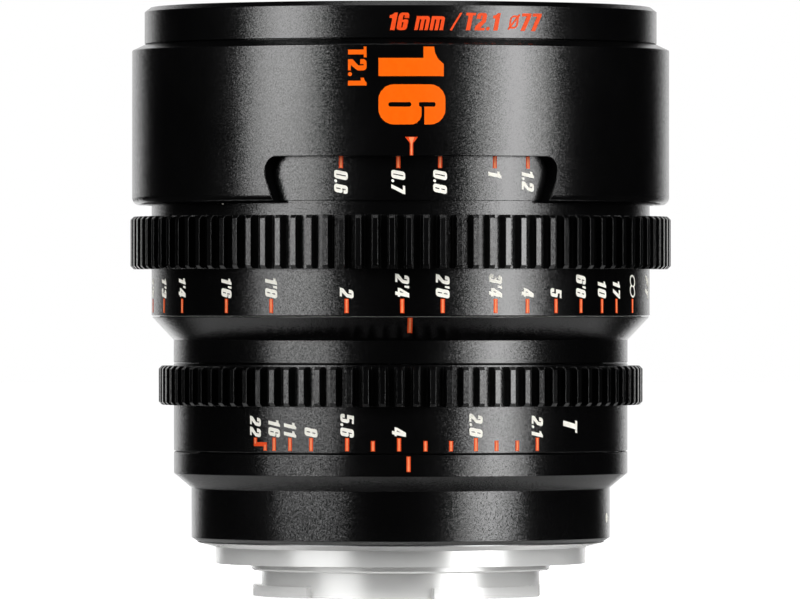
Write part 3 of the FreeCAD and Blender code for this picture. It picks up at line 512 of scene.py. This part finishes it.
def grained(tree, shader, place, tilt):
    """Tilt the surface at random from grain to grain, over edges that are broken by a small radius."""
    grains = add_node(tree, "ShaderNodeTexNoise", Scale=grain_scale, Detail=grain_detail)
    tree.links.new(place, grains.inputs["Vector"])
    tilted = add_node(tree, "ShaderNodeVectorMath", {"operation": "MULTIPLY_ADD"})
    tree.links.new(grains.outputs["Color"], tilted.inputs[0])
    tilted.inputs[1].default_value = (tilt, tilt, tilt)
    tilted.inputs[2].default_value = (-tilt / 2, -tilt / 2, -tilt / 2)
    edges = add_node(tree, "ShaderNodeBevel", {"samples": edge_samples}, Radius=edge_radius)
    whole = add_node(tree, "ShaderNodeVectorMath", {"operation": "ADD"})
    tree.links.new(edges.outputs["Normal"], whole.inputs[0])
    tree.links.new(tilted.outputs[0], whole.inputs[1])
    unit = add_node(tree, "ShaderNodeVectorMath", {"operation": "NORMALIZE"})
    tree.links.new(whole.outputs[0], unit.inputs[0])
    tree.links.new(unit.outputs[0], shader.inputs["Normal"])


def anodised(name, dark, light, low, high, tilt):
    """Return black anodised aluminium: fine blasted grain and a slight change of gloss."""
    material, tree, shader = new_material(name)
    place = object_place(tree)
    set_shader(shader, Specular_IOR_Level=black_specular)
    patches = noise(tree, place, gloss_patch_scale, 3.0)
    tree.links.new(blended(tree, ranged(tree, patches, 0.0, 1.0), dark, light),
                   shader.inputs["Base Color"])
    tree.links.new(ranged(tree, patches, low, high), shader.inputs["Roughness"])
    grained(tree, shader, place, tilt)
    return material


def machined(name, dark, light, low, high, marks, metallic=1.0):
    """Return bare turned metal with fine lathe lines."""
    material, tree, shader = new_material(name)
    place = turned_place(tree)
    set_shader(shader, Metallic=metallic)
    lines = noise(tree, place, lathe_scale, 2.0, 0.6)
    clouds = noise(tree, object_place(tree), metal_cloud_scale, 3.0)
    tree.links.new(blended(tree, ranged(tree, clouds, 0.0, 1.0), dark, light),
                   shader.inputs["Base Color"])
    tree.links.new(ranged(tree, lines, low, high), shader.inputs["Roughness"])
    bumped(tree, shader, lines, lathe_depth, marks, edge_radius)
    return material


def moulded(name, dark, light, low, high):
    """Return moulded plastic with a faint texture."""
    material, tree, shader = new_material(name)
    place = object_place(tree)
    clouds = noise(tree, place, mould_cloud_scale, 3.0)
    tree.links.new(blended(tree, ranged(tree, clouds, 0.0, 1.0), dark, light),
                   shader.inputs["Base Color"])
    tree.links.new(ranged(tree, clouds, low, high), shader.inputs["Roughness"])
    bumped(tree, shader, noise(tree, place, mould_scale), texture_depth, mould_strength)
    return material


def painted(name, colour, shade):
    """Return the paint that fills the numerals, slightly uneven."""
    material, tree, shader = new_material(name)
    place = object_place(tree)
    set_shader(shader, Specular_IOR_Level=paint_specular)
    spots = noise(tree, place, paint_scale, 3.0)
    tree.links.new(blended(tree, ranged(tree, spots, 0.0, 1.0), shade, colour),
                   shader.inputs["Base Color"])
    tree.links.new(ranged(tree, spots, *paint_roughness), shader.inputs["Roughness"])
    bumped(tree, shader, spots, texture_depth, paint_strength)
    return material


def coated_glass(name):
    """Return optical glass with a thin coating."""
    material, tree, shader = new_material(name)
    set_shader(shader, Base_Color=(0.97, 0.99, 0.98, 1.0), Transmission_Weight=1.0, IOR=glass_index,
               Thin_Film_Thickness=coating_thickness, Thin_Film_IOR=coating_index)
    dust = noise(tree, object_place(tree), dust_scale, 4.0, 0.7)
    tree.links.new(ranged(tree, dust, *dust_roughness, *dust_share), shader.inputs["Roughness"])
    return material


def make_materials():
    """Return the materials by slot, and the paints."""
    slots = {
        "black_anodised": anodised("black_anodised", (0.0005, 0.0005, 0.0006),
                                   (0.0012, 0.0012, 0.0013), 0.17, 0.2, 0.25),
        "black_matt": anodised("black_matt", (0.004, 0.004, 0.004), (0.007, 0.007, 0.007),
                               0.6, 0.75, 0.3),
        "mount_metal": machined("mount_metal", (0.89, 0.89, 0.88), (0.94, 0.94, 0.93),
                                0.235, 0.245, 0.02, 0.55),
        "steel": machined("steel", (0.42, 0.42, 0.43), (0.56, 0.56, 0.57), 0.25, 0.4, 0.4),
        "bronze": machined("bronze", (0.5, 0.33, 0.14), (0.62, 0.43, 0.2), 0.28, 0.42, 0.4),
        "white_plastic": moulded("white_plastic", (0.72, 0.72, 0.69), (0.8, 0.8, 0.77), 0.4, 0.55),
        "blade_steel": machined("blade_steel", (0.03, 0.03, 0.032), (0.05, 0.05, 0.055),
                                0.4, 0.55, 0.3),
        "glass": coated_glass("glass"),
    }
    paints = {
        "white": painted("numeral_white", (1.0, 0.98, 0.9), (0.94, 0.92, 0.82)),
        "orange": painted("scale_orange", (0.9, 0.085, 0.012), (0.78, 0.065, 0.01)),
        # Pale salmon paint for a painted highlight: a light line down the middle of each orange tick,
        # where light would catch it.
        "core": painted("scale_painted_highlight", (1.0, 0.32, 0.14), (0.9, 0.27, 0.11)),
        "focal": painted("focal_orange", (1.0, 0.14, 0.0), (0.95, 0.125, 0.0)),
    }
    return slots, paints


def dress_nodes(slots):
    """Give every CAD node the material of its slot."""
    for node in nodes.values():
        for index, old in enumerate(node.data.materials):
            kind = old.name.split(".")[0]
            node.data.materials[index] = slots[kind]


def down_text(text, height, slant, radius_at, angle, start=None, end=None):
    """Return text that reads down the lens, centred on an angle, from a start or to an end."""
    two_digits = text.isdigit() and len(text) > 1 and end is not None
    sheet, length = text_sheet(text, height, slant, wide_gap if two_digits else glyph_gap)
    for vert in sheet.verts:
        vert.co.y -= height / 2
    first = start if start is not None else end + length + slant * height / 2
    bend(sheet, radius_at, angle, first)
    return sheet


def tick(width, top, bottom, radius_at, angle, lift=proud):
    """Return one scale mark."""
    sheet = shape_sheet([block(0, -width / 2, top - bottom, width / 2, 0)])
    bend(sheet, radius_at, angle, top, lift)
    return sheet


def add_ticks(name, marks, radius_at, paints, body, extra=()):
    """Paint scale marks, each a width, two heights and an angle, with a painted highlight, a paler strip,
    down the middle of each.
    """
    edges = [tick(width, top, bottom, radius_at, angle) for width, top, bottom, angle in marks]
    # A narrower, paler strip on each tick is a painted highlight.
    highlights = [tick(width * highlight_share, top - highlight_inset, bottom + highlight_inset, radius_at, angle, highlight_proud)
             for width, top, bottom, angle in marks]
    add_piece(name, merged(edges + list(extra)), paints["orange"], body)
    add_piece(name + "_cores", merged(highlights), paints["core"], body)


def level_face(radius):
    """Return the radius at any height of a face that is a plain cylinder."""
    return lambda height: radius


def focus_angle(distance):
    """Return where a distance in metres stands on the focus ring."""
    return infinity_angle - angle_gain / (distance - near_offset)


def feet_in_metres(label):
    """Return the distance of a label in feet and inches."""
    feet, _, inches = label.partition("'")
    return (float(feet) + float(inches or 0) / 12) * foot


def focus_scales(paints):
    """Paint the metre and feet scales on the focus ring."""
    metres = [(label, focus_angle(float(label)) + metre_shift) for label in metre_marks]
    metres.append(("infinity", infinity_angle + metre_shift))
    feet = [(label, focus_angle(feet_in_metres(label))) for label in feet_marks]
    feet.append(("infinity", infinity_angle))
    numerals = []
    for name, rows, unit, radius, top, bottom, place in (
            ("metre_ticks", metres, "M", metre_band_radius, metre_tick_top, metre_tick_bottom,
             {"start": metre_numeral_top}),
            ("feet_ticks", feet, "FT", feet_band_radius, feet_tick_top, feet_tick_bottom,
             {"end": feet_numeral_bottom})):
        face = level_face(radius)
        add_ticks(name, [(tick_width, top, bottom, angle) for _, angle in rows], face, paints,
                  "focus_ring")
        for label, angle in rows:
            numerals.append(down_text(label, numeral_height, numeral_slant, face, angle, **place))
        numerals.append(down_text(unit, unit_height, numeral_slant, face, unit_angle, **place))
    add_piece("focus_scale_numerals", merged(numerals), paints["white"], "focus_ring")


def aperture_scale(paints):
    """Paint the aperture scale on the aperture ring."""
    face = level_face(collar_radius)
    ticks = []
    numerals = []
    for label, angle in aperture_marks:
        ticks.append((tick_width, aperture_tick_top, aperture_tick_bottom, angle))
        numerals.append(down_text(label, numeral_height, numeral_slant, face, angle,
                                  end=aperture_numeral_bottom))
    for angle in aperture_half_stops:
        ticks.append((tick_width, aperture_short_top, aperture_tick_bottom, angle))
    middle = (aperture_tick_top + aperture_tick_bottom) / 2
    ticks.append((tick_width, middle, aperture_tick_bottom, aperture_foot_angle))
    ticks.append((tick_width, aperture_tick_top, middle, aperture_last_angle))
    reach = math.radians(aperture_foot_angle - aperture_last_angle) * collar_radius
    link = shape_sheet([block(-tick_width / 2, -tick_width / 2, tick_width / 2,
                              reach + tick_width / 2, 0)])
    bend(link, face, aperture_last_angle, middle, proud - sunk / 2)
    add_ticks("aperture_ticks", ticks, face, paints, "aperture_ring", [link])
    numerals.append(down_text("22", numeral_height, numeral_slant, face, aperture_last_angle,
                              end=aperture_numeral_bottom))
    numerals.append(down_text("T", aperture_unit_height, numeral_slant, face, aperture_unit_angle,
                              start=aperture_unit_top))
    add_piece("aperture_scale_numerals", merged(numerals), paints["white"], "aperture_ring")


def index_marks(paints):
    """Paint the fixed index marks on the cone, the rear collar and the shell, each with a painted
    highlight, a paler strip, down its middle.
    """
    slope = (cone_radius - collar_radius) / (cone_top - cone_bottom)
    add_ticks("focus_index", [(focus_index_width, focus_index_top, focus_index_bottom, focus_index_angle)],
              lambda z: cone_radius - (cone_top - z) * slope, paints, "root")
    add_ticks("aperture_index", [(tick_width, aperture_index_top, aperture_index_bottom,
                                  aperture_index_angle)], level_face(collar_radius), paints, "root")
    # The window index is painted orange, then gets a narrower, paler strip over it that is a painted
    # highlight.
    for name, paint, share, lift in (("window_index", "orange", 1.0, proud),
                                     ("window_index_highlight", "core", highlight_share, highlight_proud)):
        half = window_index_width / 2 * share
        thin = window_index_stem / 2 * share
        inset = highlight_inset * (1.0 - share)
        neck = window_index_top - window_index_neck + inset
        end = window_index_top - window_index_bottom - inset
        funnel = shape_sheet([[(inset, -half, 0), (neck, -thin, 0), (end, -thin, 0), (end, thin, 0),
                               (neck, thin, 0), (inset, half, 0)]])
        bend(funnel, level_face(shell_radius), window_index_angle, window_index_top, lift)
        add_piece(name, funnel, paints[paint], "root")


def focal_digits():
    """Return the outlines of the large one and six, which run down the shell, in metres."""
    one = [[(1.73, 0, 0), (4.5, 0, 0), (4.5, 9.95, 0), (2.65, 9.95, 0), (1.9, 9.1, 0.9), (1.0, 8.62, 0.6),
            (0, 8.45, 0), (0, 6.85, 0), (1.73, 6.85, 0)]]
    width = 6.1
    top = 10.2
    slot = (2.7, 3.4)
    gap = (6.62, 6.98)
    curve = 2.3
    six = [
        [(0, 0, curve), (width, 0, curve), (width, gap[0], 1.6), (slot[1], gap[0] - 0.1, 0),
         (slot[1], 6.15, 0.2), (slot[0], 6.15, 0.2), (slot[0], 8.7, 0.3), (slot[1], 8.7, 0.3),
         (slot[1], gap[1], 0), (width, gap[1], 0.1), (width, top, curve), (0, top, curve)],
        block(slot[0], 1.5, slot[1], 5.0, 0.34),
    ]
    start = one[0][1][0] * mm + focal_gap
    digits = []
    for outlines, shift in ((one, 0.0), (six, start)):
        digits.append([[(x * mm + shift, y * mm, radius * mm) for x, y, radius in outline]
                       for outline in outlines])
    return digits


def shell_lettering(paints):
    """Paint the large focal length and the small widest stop on the shell."""
    face = level_face(shell_radius)
    large = bmesh.new()
    for outlines in focal_digits():
        fill(large, [rounded(outline) for outline in outlines])
    bend(sliced(large, strip_step), face, focal_angle, focal_top)
    add_piece("focal_length", large, paints["focal"], "root")
    small, _ = text_sheet("T2.1", stop_height, 0.0)
    for vert in small.verts:
        vert.co.y -= stop_height / 2
    bend(sliced(small, strip_step), face, stop_angle, stop_top)
    add_piece("widest_stop", small, paints["focal"], "root")


def ring_lettering(paints):
    """Paint the plain numbers round the front ring."""
    words = []
    for text, angle in ring_words:
        sheet, _ = text_sheet(text, ring_text_height, numeral_slant)
        turned_quarter(sheet)
        bend(sliced(sheet, strip_step), level_face(front_radius), angle, ring_text_bottom)
        words.append(sheet)
    add_piece("front_ring_numbers", merged(words), paints["orange"], "root")


def mount_mark(paints):
    """Paint the round mark that lines up with the camera's."""
    corners = block(-mount_mark_radius, -mount_mark_radius, mount_mark_radius, mount_mark_radius,
                    mount_mark_radius * mount_mark_rounding)
    sheet = shape_sheet([corners])
    bend(sheet, level_face(rear_radius), mount_mark_angle, mount_mark_height)
    add_piece("mount_mark", sheet, paints["white"], "root")


def filter_thread(slots):
    """Add the filter thread: one helical ridge inside the front ring."""
    sheet = bmesh.new()
    profile = ((sunk, 0.5), (-thread_depth, 0.0), (sunk, -0.5))
    rows = []
    total = int(thread_turns * thread_steps)
    start = front_top - thread_turns * thread_pitch - thread_pitch / 2
    for index in range(total + 1):
        turn = 2 * math.pi * index / thread_steps
        fade = min(1.0, index / thread_fade_steps, (total - index) / thread_fade_steps)
        row = []
        for inset, side in profile:
            radius = filter_radius + (inset * fade if inset < 0 else inset)
            z = start + thread_pitch * (index / thread_steps + side * thread_foot_share)
            row.append(sheet.verts.new((radius * math.cos(turn), radius * math.sin(turn), z)))
        rows.append(row)
    for first, second in zip(rows, rows[1:]):
        for side in range(2):
            sheet.faces.new((first[side], first[side + 1], second[side + 1], second[side]))
    bmesh.ops.recalc_face_normals(sheet, faces=sheet.faces[:])
    thread = add_piece("filter_thread", sheet, slots["black_anodised"], "root")


def behind_lens(tree, place):
    """Return 1 for a place or a way behind the lens and 0 for one beside it or in front."""
    unit = add_node(tree, "ShaderNodeVectorMath", {"operation": "NORMALIZE"})
    tree.links.new(place, unit.inputs[0])
    share = add_node(tree, "ShaderNodeVectorMath", {"operation": "DOT_PRODUCT"})
    tree.links.new(unit.outputs["Vector"], share.inputs[0])
    share.inputs[1].default_value = back_way
    ramp = tree.nodes.new("ShaderNodeMapRange")
    ramp.interpolation_type = "SMOOTHSTEP"
    ramp.inputs["From Min"].default_value, ramp.inputs["From Max"].default_value = back_ramp
    tree.links.new(share.outputs["Value"], ramp.inputs["Value"])
    return ramp.outputs["Result"]


def make_floor():
    """Lay the pale floor, which shows white and keeps the object's shadow."""
    sheet = bmesh.new()
    corners = [sheet.verts.new((x, y, floor_level))
               for x, y in ((-floor_half, floor_front), (floor_half, floor_front),
                            (floor_half, floor_back), (-floor_half, floor_back))]
    sheet.faces.new(corners)
    mesh = bpy.data.meshes.new("floor")
    sheet.to_mesh(mesh)
    sheet.free()
    floor = bpy.data.objects.new("floor", mesh)
    bpy.context.scene.collection.objects.link(floor)
    material, tree, shader = new_material("floor_white")
    set_shader(shader, Roughness=floor_roughness, Specular_IOR_Level=floor_specular,
               Emission_Color=(1.0, 1.0, 1.0, 1.0))
    place = object_place(tree)
    parts = tree.nodes.new("ShaderNodeSeparateXYZ")
    tree.links.new(place, parts.inputs[0])
    spread = add_node(tree, "ShaderNodeVectorMath", {"operation": "LENGTH"})
    tree.links.new(place, spread.inputs[0])
    behind = behind_lens(tree, place)
    beyond = ranged(tree, parts.outputs["Y"], 0.0, 1.0, *floor_edge)
    near = ranged(tree, spread.outputs["Value"], 0.0, 1.0, *floor_near)
    beside = calculated(tree, "MULTIPLY", beyond, near)
    lit = calculated(tree, "MAXIMUM", behind, beside)
    dark, white = ((grey, grey, grey) for grey in (floor_dark, floor_white))
    tree.links.new(blended(tree, lit, dark, white), shader.inputs["Base Color"])
    rays = tree.nodes.new("ShaderNodeLightPath")
    seen = calculated(tree, "MAXIMUM", rays.outputs["Is Glossy Ray"],
                      rays.outputs["Is Transmission Ray"])
    level = ranged(tree, beside, 1.0, floor_glow, 0.0, 1.0)
    glow = calculated(tree, "ADD", calculated(tree, "MULTIPLY", rays.outputs["Is Camera Ray"], level),
                      calculated(tree, "MULTIPLY", seen, behind))
    tree.links.new(glow, shader.inputs["Emission Strength"])
    mesh.materials.append(material)


def make_world():
    """Surround the lens with white behind it and darkness in front, and show white to the camera."""
    world = bpy.data.worlds.new("studio")
    bpy.context.scene.world = world
    world.use_nodes = True
    tree = world.node_tree
    tree.nodes.clear()
    output = tree.nodes.new("ShaderNodeOutputWorld")
    background = add_node(tree, "ShaderNodeBackground", Color=(1.0, 1.0, 1.0, 1.0))
    tree.links.new(background.outputs[0], output.inputs["Surface"])
    way = tree.nodes.new("ShaderNodeTexCoord").outputs["Generated"]
    level = ranged(tree, behind_lens(tree, way), front_fill, 1.0, 0.0, 1.0)
    rays = tree.nodes.new("ShaderNodeLightPath")
    shown = calculated(tree, "MAXIMUM", rays.outputs["Is Camera Ray"], level)
    tree.links.new(shown, background.inputs["Strength"])


def add_light(name, place, target, width, height, brightness, shape="RECTANGLE"):
    """Hang a soft flat light that looks at a point, with a given surface brightness."""
    light = bpy.data.lights.new(name, "AREA")
    light.shape = shape
    light.size = width
    light.size_y = height
    light.energy = brightness * math.pi * width * height * filled_share[shape]
    lamp = bpy.data.objects.new(name, light)
    lamp.location = place
    lamp.rotation_euler = (target - place).to_track_quat("-Z", "Y").to_euler()
    lamp.visible_camera = False
    bpy.context.scene.collection.objects.link(lamp)


def make_lights():
    """Stand the two strip lights in front, brighter towards their middle, and hang the top light."""
    middle = Vector((0, 0, camera_height))
    for name, (azimuth, low, fade, brightness) in strip_lights.items():
        turn = math.radians(azimuth)
        for layer in range(strip_layers):
            share = (layer + 0.5) / strip_layers
            edge = low + fade * share
            distance = strip_distance + layer * mm
            place = Vector((math.sin(turn) * distance, -math.cos(turn) * distance,
                            (edge + strip_top) / 2))
            add_light(name, place, Vector((0, 0, place.z)), strip_width * (1 - share),
                      strip_top - edge, brightness / strip_layers)
    add_light("top_light", Vector((0, 0, top_light_height)), middle, top_light_size,
              top_light_size, top_light_brightness, "ELLIPSE")


def make_camera():
    """Set the camera level with the middle of the lens and far off, as in the photo."""
    camera = bpy.data.cameras.new("camera")
    camera.sensor_width = sensor_width
    camera.lens = sensor_width * camera_distance / photo_width
    camera.clip_start = near_clip
    camera.clip_end = far_clip
    view = bpy.data.objects.new("camera", camera)
    view.location = (camera_side, -camera_distance, camera_height)
    view.rotation_euler = (math.pi / 2, 0, 0)
    bpy.context.scene.collection.objects.link(view)
    bpy.context.scene.camera = view


slots, paints = make_materials()
dress_nodes(slots)
focus_scales(paints)
aperture_scale(paints)
index_marks(paints)
shell_lettering(paints)
ring_lettering(paints)
mount_mark(paints)
filter_thread(slots)
make_floor()
make_world()
make_lights()
make_camera()
bpy.context.scene.view_settings.view_transform = "Standard"
